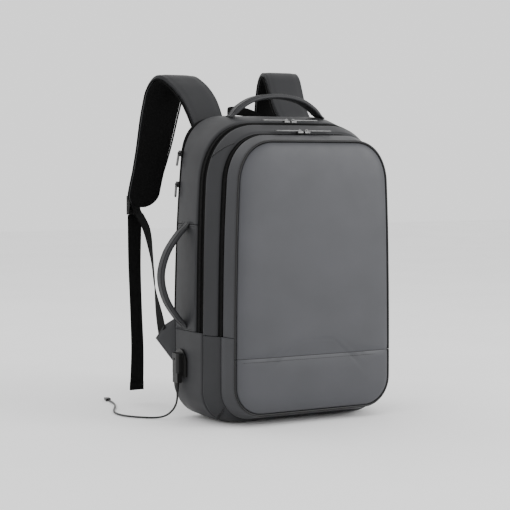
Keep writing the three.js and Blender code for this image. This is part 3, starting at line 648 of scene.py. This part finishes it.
def strip_loops(positions, tangents, across, section):
    """section(t) gives (s, n) points: s along the width direction, n along the outward normal."""
    loops = []
    for i, (p, tangent) in enumerate(zip(positions, tangents)):
        t = i / (len(positions) - 1)
        wide = np.asarray(across(t), float)
        out = np.cross(wide, tangent)
        out /= np.linalg.norm(out)
        loops.append([p + s * wide + n * out for s, n in section(t)])
    return np.array(loops)


def pillow_section(width, low, high, edge=3.0, channel=0.0, crown=1.0):
    """A padded strip's section from n = low to n = high: crowned faces, soft edges and two sewn channels."""
    s = np.linspace(-1, 1, 25)
    fall = 1 - np.abs(s) ** 5 * 0.42
    middle, thick = (low + high) / 2, (high - low) / 2
    groove = channel * (np.exp(-(((np.abs(s) - 0.72) / 0.05) ** 2)))
    top = middle + thick * (fall - groove)
    bottom = middle - thick * (1 - np.abs(s) ** 5 * 0.42 * crown - groove * crown * 0.5)
    half = width / 2
    inner = half - min(edge, half * 0.3) * (1 - np.sqrt(np.clip(1 - np.abs(s) ** 12, 0, 1)))
    upper = [(float(a * b), float(c)) for a, b, c in zip(s, inner, top)]
    lower = [(float(a * b), float(c)) for a, b, c in zip(s, inner, bottom)][::-1]
    return upper + lower


def webbing_section(width, thick):
    half, t = width / 2, thick / 2
    ribs = [(half * a, t * (1.0 if k % 2 else 0.82)) for k, a in enumerate(np.linspace(-0.94, 0.94, 17))]
    return [(-half, 0.0), *ribs, (half, 0.0), *[(a, -b) for a, b in ribs[::-1]]]


STRAP = dict(width=56.0, swell=13.0, foam=8.0, mesh=3.0)
STRAP_ROUTES = {
    "left": [
        (-92, 79.5, 432), (-92, 83, 440), (-92, 90, 451), (-92.5, 99, 465), (-94, 115, 485), (-102, 135, 506),
        (-113, 155, 518), (-120, 171, 505), (-126, 179, 473), (-135, 189, 408), (-143, 198, 360),
        (-148, 207, 317),
    ],
    "right": [
        (80, 79.5, 424), (80, 84, 431), (79, 98, 446), (78, 113, 460), (77, 125, 478), (77, 137, 503),
        (78, 148, 521), (79, 158, 527), (80, 168, 520), (81, 177, 499), (82, 184, 473), (83, 194, 408),
        (84, 201, 360), (86, 207, 317),
    ],
}


def strap_width(t):
    swell = STRAP["width"] + STRAP["swell"] * math.sin(math.pi * min(1, t * 1.2))
    rounding = math.sqrt(max(0.0, 1 - ((t - 0.93) / 0.0725) ** 2)) if t > 0.93 else 1.0
    return swell * max(rounding, 0.25)


def build_strap(side):
    """Padded strap with its lining, edge bindings and two rows of stitches."""
    sign = -1 if side == "left" else 1
    body = f"strap_{side}"
    route = STRAP_ROUTES[side]
    steps = 130
    positions, tangents = spline(route, steps)
    across = lambda t: (1.0, 0.0, 0.0)
    swell = lambda t: 0.3 + 0.7 * min(1.0, (t / 0.07)) ** 0.6
    tip = lambda t: 1.0 if t < 0.965 else 0.6 + 0.4 * (1 - t) / 0.035

    def outer(t):
        thick = STRAP["foam"] * swell(t) * tip(t)
        return pillow_section(strap_width(t), 0.0, thick, channel=0.14, crown=0.0)

    def inner(t):
        thick = STRAP["mesh"] * swell(t) * tip(t)
        return pillow_section(strap_width(t) - 2.4, -GAP - thick, -GAP, crown=1.0)

    pieces = []
    pad = swept(f"strap_{side}_outer", strip_loops(positions, tangents, across, outer), FABRIC_STRAP_PAINTED_SHADE)
    relax_cloth(pad, 0.5, scale=24.0, seed=2.0 * sign)
    pieces.append((pad, f"strap_pad_{side}", "shell_fabric"))
    lining = swept(f"strap_{side}_inner", strip_loops(positions, tangents, across, inner), MESH)
    pieces.append((lining, f"strap_mesh_{side}", "padding_mesh"))
    for name, edge in (("a", -1), ("b", 1)):
        def bead(t, edge=edge):
            w = edge * (strap_width(t) / 2 - 0.9)
            return [(w + 1.3 * math.cos(a), 0.2 + 1.5 * math.sin(a)) for a in circle(8)]
        binding = swept(f"strap_{side}_binding_{name}", strip_loops(positions, tangents, across, bead), WEB)
        pieces.append((binding, None, "webbing"))
    for obj, node, slot in pieces:
        if node:
            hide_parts(node)
        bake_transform(obj)
    for edge, tag in ((-1, "l"), (1, "r")):
        line = []
        normals = []
        for i in range(16, steps - 10):
            out = unit(np.cross((1, 0, 0), tangents[i]))
            beside = edge * (strap_width(i / steps) / 2) * 0.72
            line.append(positions[i] + [beside, 0, 0] + out * (STRAP["foam"] * 0.86))
            normals.append(out)
        stitches(f"strap_{side}_stitch_{tag}", line, normals, body)

    low, high = (np.array(v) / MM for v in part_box(f"ladder_lock_{side}"))
    lock = (low + high) / 2
    build_lock_webbing(side, sign, lock)
    build_tail(side, sign)
    build_lower_webbing(side, sign, lock)
    build_tab(side, sign)
    dress(NODES[f"ladder_lock_{side}"], PLASTIC, 0.9)


def build_lock_webbing(side, sign, lock):
    """Webbing through the ladder lock: round the top bar, round the middle bar, and in and out of it.

    Points are (out from the lock's face, up from its middle)."""
    axis = (math.cos(LOCK_TURN), -sign * math.sin(LOCK_TURN), 0.0)
    face = np.array([sign * math.sin(LOCK_TURN), math.cos(LOCK_TURN), 0.0])
    keeper = [(-14.0, 20.0), (-6.0, 12.0), (-2.6, 9.0), (2.6, 10.5), (3.3, 6.5), (0.0, 5.8)]
    wrap = [(-1.0, -6.0), (3.2, -4.6), (4.1, 0.0), (3.2, 4.0), (0.0, 4.8), (-3.0, 3.6), (-3.4, -2.0)]
    lead_in = [(-3.2, 0.5), (-3.6, -3.0), (-6.0, -8.5), (-8.8, -13.4), (-10.2, -16.5)]
    tail_top = [(3.4, -1.0), (3.6, -7.0), (0.8, -12.0), (0.4, -18.0)]
    narrow = WEBBING - 1
    for name, points, width in (
        ("keeper", keeper, 22.0),
        ("wrap", wrap, narrow),
        ("lead_in", lead_in, narrow),
        ("tail_top", tail_top, narrow),
    ):
        line = [lock + face * out + np.array([0.0, 0.0, up]) for out, up in points]
        pos, tan = spline(line, 30)
        loops = strip_loops(pos, tan, lambda t: axis, lambda t: webbing_section(width, 1.4))
        place(swept(f"lock_{side}_{name}", loops, WEB), f"strap_{side}", slot="webbing")


def build_tail(side, sign):
    """Free end of the adjusting webbing, hanging with a slight sway and a folded hem."""
    low, high = (np.array(v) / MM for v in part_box(f"strap_tail_{side}"))
    x, y = (low[0] + high[0]) / 2, (low[1] + high[1]) / 2
    top, bottom = high[2], low[2]
    sway = 3.0
    tail = [
        (x, y, top - 0.5),
        (x, y + 0.3, top - 20),
        (x + 1.0, y + sway, top - 80),
        (x + 2.0, y + sway * 0.2, top - 150),
        (x + 2.5, y - sway, top - 220),
        (x + 2.0, y - 1.0, bottom + 8),
        (x + 2.0, y - 0.6, bottom + 0.4),
    ]
    pos, tan = spline(tail, 90)

    def hang(t):
        return unit(np.array([math.cos(0.35 * t), -sign * 0.25 * math.sin(3.0 * t), 0]))

    def hem_hang(t):
        return hang(0.95 + 0.05 * t)

    loops = strip_loops(pos, tan, hang, lambda t: webbing_section(WEBBING, WEBBING_THICK))
    webbing = swept(f"tail_{side}_webbing", loops, WEB)
    place(webbing, f"tail_{side}", f"strap_tail_{side}", slot="webbing")
    loops = strip_loops(pos[-5:], tan[-5:], hem_hang, lambda t: webbing_section(WEBBING + 0.4, 4.2))
    place(swept(f"tail_{side}_hem", loops, WEB), f"tail_{side}", slot="webbing")


def build_lower_webbing(side, sign, lock):
    """Webbing from the anchor tab, turning edge on, up to the lock."""
    foot = np.array([sign * (HALF + 8.0), BACK_Y + 19.0, 128.0])
    head = lock + np.array([-sign * 6.0, -7.0, -14.0])
    bends = [(0, 0, 0), (0.33, -3, -6), (0.66, -9, -5), (0.87, -8, 0), (1, 0, 0)]
    run = [foot + (head - foot) * t + np.array([sign * inward, 0, drop]) for t, inward, drop in bends]
    at_foot = np.array([sign * 0.06, 0.77, -0.64])
    halfway = np.array([-sign * 0.5, 0.866, 0.0])
    at_head = np.array([-sign * 0.866, 0.5, 0.0])

    def twist(t):
        a, b, u = (at_foot, halfway, t * 2) if t < 0.5 else (halfway, at_head, t * 2 - 1)
        u = u * u * (3 - 2 * u)
        return unit(a * (1 - u) + b * u)

    pos, tan = spline(run, 90)
    loops = strip_loops(pos, tan, twist, lambda t: webbing_section(WEBBING, WEBBING_THICK))
    lower = swept(f"lower_{side}_webbing", loops, WEB)
    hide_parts(f"lower_webbing_{side}")
    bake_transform(lower)


def build_tab(side, sign):
    """Padded triangular anchor with sewn edges."""
    lean = math.atan2(33, 13)
    corners = [np.array(v, float) for v in ((-7, 80), (34, 118), (15, 140), (-7, 152))]
    centre = sum(corners) / 4
    rings = []
    layers = [(1.0, 0.25), (0.97, 0.85), (0.9, 1.0), (0.84, 0.72), (0.78, 1.05), (0.4, 1.35), (0.05, 1.4)]
    for scale, thick in layers:
        border = []
        for a, b in zip(corners, corners[1:] + corners[:1]):
            border += [a + (b - a) * t for t in np.linspace(0, 1, 12, endpoint=False)]
        rings.append([(centre + (p - centre) * scale, 1.5 * thick) for p in border])
    def to_world(p, n):
        s, z = p
        x, y = s * math.cos(lean) + (-n) * -math.sin(lean), s * math.sin(lean) + (-n) * math.cos(lean)
        return (sign * (HALF - 1 + x), BACK_Y + 0.4 + y, z)
    loops = [[to_world(p, -n + 1.5) for p, n in border] for border in rings[::-1]]
    loops += [[to_world(p, n + 1.5) for p, n in border] for border in rings]
    tab = swept(f"anchor_{side}_cloth", np.array(loops), FABRIC_PAINTED_SHADE)
    place(tab, "pack", f"anchor_tab_{side}", slot="shell_fabric")


# ---------------------------------------------------------------- grips
def build_grips():
    grip_low, grip_high = (np.array(v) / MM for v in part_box("top_handle_grip"))
    y = (grip_low[1] + grip_high[1]) / 2
    top = float(np.interp(y, STATIONS[:, 0], STATIONS[:, 2]))
    arch = [
        (-84, -1.2), (-80, 0.6), (-74, 5.5), (-66, 12.5), (-43, 25), (0, 31.5),
        (43, 25), (66, 12.5), (74, 5.5), (80, 0.6), (84, -1.2),
    ]
    pos, tan = spline([(x, y, top + z) for x, z in arch], 150)
    grip_piece("top_handle_padding", pos, tan, (23.0, 8.0), "top_handle_grip")

    side_low, side_high = (np.array(v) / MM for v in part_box("side_handle_grip"))
    y = (side_low[1] + side_high[1]) / 2
    middle, reach = (side_low[2] + side_high[2]) / 2, (side_high[2] - side_low[2]) / 2
    bow = [
        (-1.06, -0.2), (-1.02, 1.4), (-0.93, 6), (-0.82, 14), (-0.45, 32.5), (0, 40.5),
        (0.45, 32.5), (0.82, 14), (0.93, 6), (1.02, 1.4), (1.06, -0.2),
    ]
    pos, tan = spline([(-side_x(y, middle + a * reach) - out, y, middle + a * reach) for a, out in bow], 150)
    grip_piece("side_handle_padding", pos, tan, (19.5, 7.0), "side_handle_grip")


def grip_piece(name, pos, tan, size, node):
    width, thick = size

    def section(t):
        ends = abs(2 * t - 1)
        flat = max(0.0, (ends - 0.86) / 0.14)
        w = width * (1 - 0.12 * ends ** 6)
        h = thick * (1 - 0.66 * flat ** 0.8)
        points = []
        for a in np.linspace(0, 2 * math.pi, 40, endpoint=False):
            c, s = math.cos(a), math.sin(a)
            r = (abs(c) ** 3.2 + abs(s) ** 3.2) ** (-1 / 3.2)
            x = w / 2 * c * r
            groove = 0.10 * math.exp(-(((abs(x) - w * 0.3) / 0.9) ** 2))
            points.append((x, h / 2 * s * r * (1 - groove)))
        return points

    grip = swept(name, strip_loops(pos, tan, lambda t: (0.0, -1.0, 0.0), section), FABRIC_PAINTED_SHADE)
    relax_cloth(grip, 0.25, scale=40.0)
    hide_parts(node)
    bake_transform(grip)
    # Sewn welts along both edges of the grip.
    for edge, tag in ((-1, "front"), (1, "back")):
        def welt(t, edge=edge):
            across = edge * width * 0.3 * (1 - 0.12 * abs(2 * t - 1) ** 6)
            rise = thick / 2 * (1 - 0.66 * max(0.0, (abs(2 * t - 1) - 0.86) / 0.14) ** 0.8) - 0.35
            return [(across + 0.6 * math.cos(a), rise + 0.6 * math.sin(a))
                    for a in circle(8)]
        bead = swept(f"{name}_welt_{tag}", strip_loops(pos, tan, lambda t: (0.0, -1.0, 0.0), welt), PIPING)
        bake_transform(bead)


# ---------------------------------------------------------------- back padding
def cushion(name, node, channels):
    low, high = (np.array(v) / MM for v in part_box(node))
    width, height, thick = (high[0] - low[0]) / 2, (high[2] - low[2]) / 2, high[1] - low[1]
    radius = 22.0
    centre = (low + high) / 2
    nu, nv = 56, int(56 * height / width)
    front, faces = [], []
    for j in range(nv + 1):
        for i in range(nu + 1):
            x, z = (2 * i / nu - 1) * width, (2 * j / nv - 1) * height
            dx, dz = max(0.0, abs(x) - (width - radius)), max(0.0, abs(z) - (height - radius))
            if dx > 0 and dz > 0:
                reach = max(dx, dz) / math.hypot(dx, dz)
                x = math.copysign(width - radius + dx * reach, x)
                z = math.copysign(height - radius + dz * reach, z)
                inside = radius - max(dx, dz)
            else:
                inside = min(width - abs(x), height - abs(z))
            rise = math.sqrt(max(0.0, 1 - (1 - min(1.0, inside / 11.0)) ** 2))
            dip = 0.0
            for c in channels:
                dip = max(dip, math.exp(-(((z / height - c) * height / 3.2) ** 2)))
            edge = math.exp(-(((inside - 7.5) / 1.3) ** 2))
            puff = 0.12 * noise.noise(Vector((x * 0.03, z * 0.03, 1.7)))
            depth = thick * rise * (0.9 + puff) * (1 - 0.6 * dip * min(1, inside / 14)) * (1 - 0.3 * edge)
            front.append((centre[0] + x, low[1] + max(0.15, depth), centre[2] + z))
    count = len(front)
    back = [(p[0], low[1], p[2]) for p in front]
    row = nu + 1
    for j in range(nv):
        for i in range(nu):
            a = j * row + i
            faces.append((a, a + 1, a + row + 1, a + row))
            faces.append((count + a, count + a + row, count + a + row + 1, count + a + 1))
    rim = [i for i in range(row)] + [j * row + nu for j in range(1, nv + 1)]
    rim += [nv * row + i for i in range(nu - 1, -1, -1)] + [j * row for j in range(nv - 1, 0, -1)]
    for a, b in zip(rim, rim[1:] + rim[:1]):
        faces.append((a, b, count + b, count + a))
    pad = mesh_object(name, front + back, faces, MESH)
    place(pad, "pack", node, slot="padding_mesh")


def build_back():
    panel = NODES["back_panel"]
    dress(panel, MESH, 0.6)
    cushion("back_left_cushion", "back_pad_left", (-0.5, 0.0, 0.5))
    cushion("back_right_cushion", "back_pad_right", (-0.5, 0.0, 0.5))
    cushion("lumbar_cushion", "lumbar_pad", (0.0,))
    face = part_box("hang_loop")[0][1] / MM - GAP
    route = [
        (-30, 0.4, -17), (-32, 12, -14), (-38, 28, -4), (-38, 42, 6), (-22, 50, 9), (-2, 44, 6),
        (14, 28, -4), (24, 12, -14), (26, 0.4, -17),
    ]
    pos, tan = spline([(x, face + b, HEIGHT + up) for x, b, up in route], 90)
    section = pillow_section(16.0, -2.2, 2.2, edge=2.0, channel=0.2)
    loops = strip_loops(pos, tan, lambda t: (0.0, 0.0, 1.0), lambda t: section)
    place(swept("hang_loop_webbing", loops, WEB), "pack", "hang_loop", slot="webbing")


# ---------------------------------------------------------------- hard pieces kept from the frame
def dress(node, material, bevel_mm):
    """Softens a CAD piece's edges and gives it its material."""
    if bevel_mm:
        bevel = node.modifiers.new("edge", "BEVEL")
        bevel.width = bevel_mm * MM
        bevel.segments = 3
        bevel.limit_method = "ANGLE"
        bevel.angle_limit = math.radians(40)
    node.data.materials.clear()
    node.data.materials.append(material)


def build_hardware():
    for zip_name in ("main_left", "main_right", "pocket_left", "pocket_right", "side_upper", "side_lower"):
        dress(NODES[f"{zip_name}_slider"], METAL, 0.35)
        dress(NODES[f"{zip_name}_pull"], METAL, 0.3)
    dress(NODES["usb_port"], PLASTIC, 0.7)
    dress(NODES["usb_plug"], PLASTIC, 0.6)
    dress(NODES["phone_connector"], PLASTIC, 0.5)
    inner = ("laptop_divider", "base_board", "pocket_divider_upper", "pocket_divider_lower", "pen_organizer")
    for name in inner:
        dress(NODES[name], LINING, 0.6)


# ---------------------------------------------------------------- camera, lead, light
def build_camera():
    data = bpy.data.cameras.new("camera")
    data.lens = 109.2
    data.sensor_width = 36.0
    data.clip_end = 30.0
    camera = bpy.data.objects.new("camera", data)
    camera.location = (-1.2279, -2.0275, 0.392)
    camera.rotation_euler = (math.radians(86.49), 0.0, math.radians(-30.0))
    bpy.context.scene.collection.objects.link(camera)
    bpy.context.scene.camera = camera


CORD_DIAMETER = 3.0
CORD_POINTS = [
    (0, 0, 0), (0, 0, -8), (-1, 1, -17), (-5, 4, -27), (-12, 9, -35), (-21, 15, -39), (-32, 23, -40.1),
    (-43, 33, -40.1), (-53, 46, -40.1), (-60, 62, -40.1), (-62, 80, -40.1), (-59, 98, -40.1),
    (-52, 116, -40.1), (-43, 133, -40.1), (-34, 150, -40.1), (-27, 167, -40.1), (-22, 184, -40.1),
    (-19, 201, -40.1), (-17, 212, -40.1),
]


def build_cord():
    plug_low, plug_high = (np.array(v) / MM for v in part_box("usb_plug"))
    middle = (plug_low + plug_high) / 2
    exit_point = np.array([middle[0], middle[1], plug_low[2] - GAP])
    pos, tan = spline([exit_point + p for p in CORD_POINTS], 260)
    radius = CORD_DIAMETER / 2
    loops = []
    side = np.array([1.0, 0.0, 0.0])
    for p, t in zip(pos, tan):
        side = side - t * side.dot(t)
        side /= np.linalg.norm(side)
        up = np.cross(t, side)
        loops.append([p + radius * (math.cos(a) * side + math.sin(a) * up) for a in circle(14)])
    cable = swept("charging_lead", np.array(loops), JACKET)
    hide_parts("charging_cord")
    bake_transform(cable)


def build_stage():
    bpy.ops.mesh.primitive_plane_add(size=12, location=(0, 0, -0.0006))
    floor = bpy.context.object
    floor.name = "floor"
    paint = Shader("floor_paper", 0.85, specular=0.2)
    paint.colour(paint.noise(3.0, 2.0), linear(0.93), linear(0.96))
    floor.data.materials.append(paint.material)
    world = bpy.data.worlds.new("studio")
    bpy.context.scene.world = world
    world.use_nodes = True
    background = world.node_tree.nodes["Background"]
    background.inputs["Color"].default_value = (1.0, 1.0, 1.0, 1.0)
    background.inputs["Strength"].default_value = 1.35
    for name, place_at, size, power in (
        ("key", (1.6, -1.9, 1.0), 1.2, 44.0),
        ("fill", (-2.3, -0.9, 0.7), 1.2, 4.0),
        ("rim", (-0.6, 1.7, 1.9), 1.2, 7.0),
    ):
        data = bpy.data.lights.new(name, "AREA")
        data.size = size
        data.energy = power
        light = bpy.data.objects.new(name, data)
        light.location = place_at
        light.rotation_euler = (Vector((0, 0, 0.25)) - Vector(place_at)).to_track_quat("-Z", "Y").to_euler()
        bpy.context.scene.collection.objects.link(light)


build_camera()
build_cord()
build_stage()
build_shell()
corner_seams()
build_zips()
build_front()
build_strap("left")
build_strap("right")
build_grips()
build_back()
build_hardware()
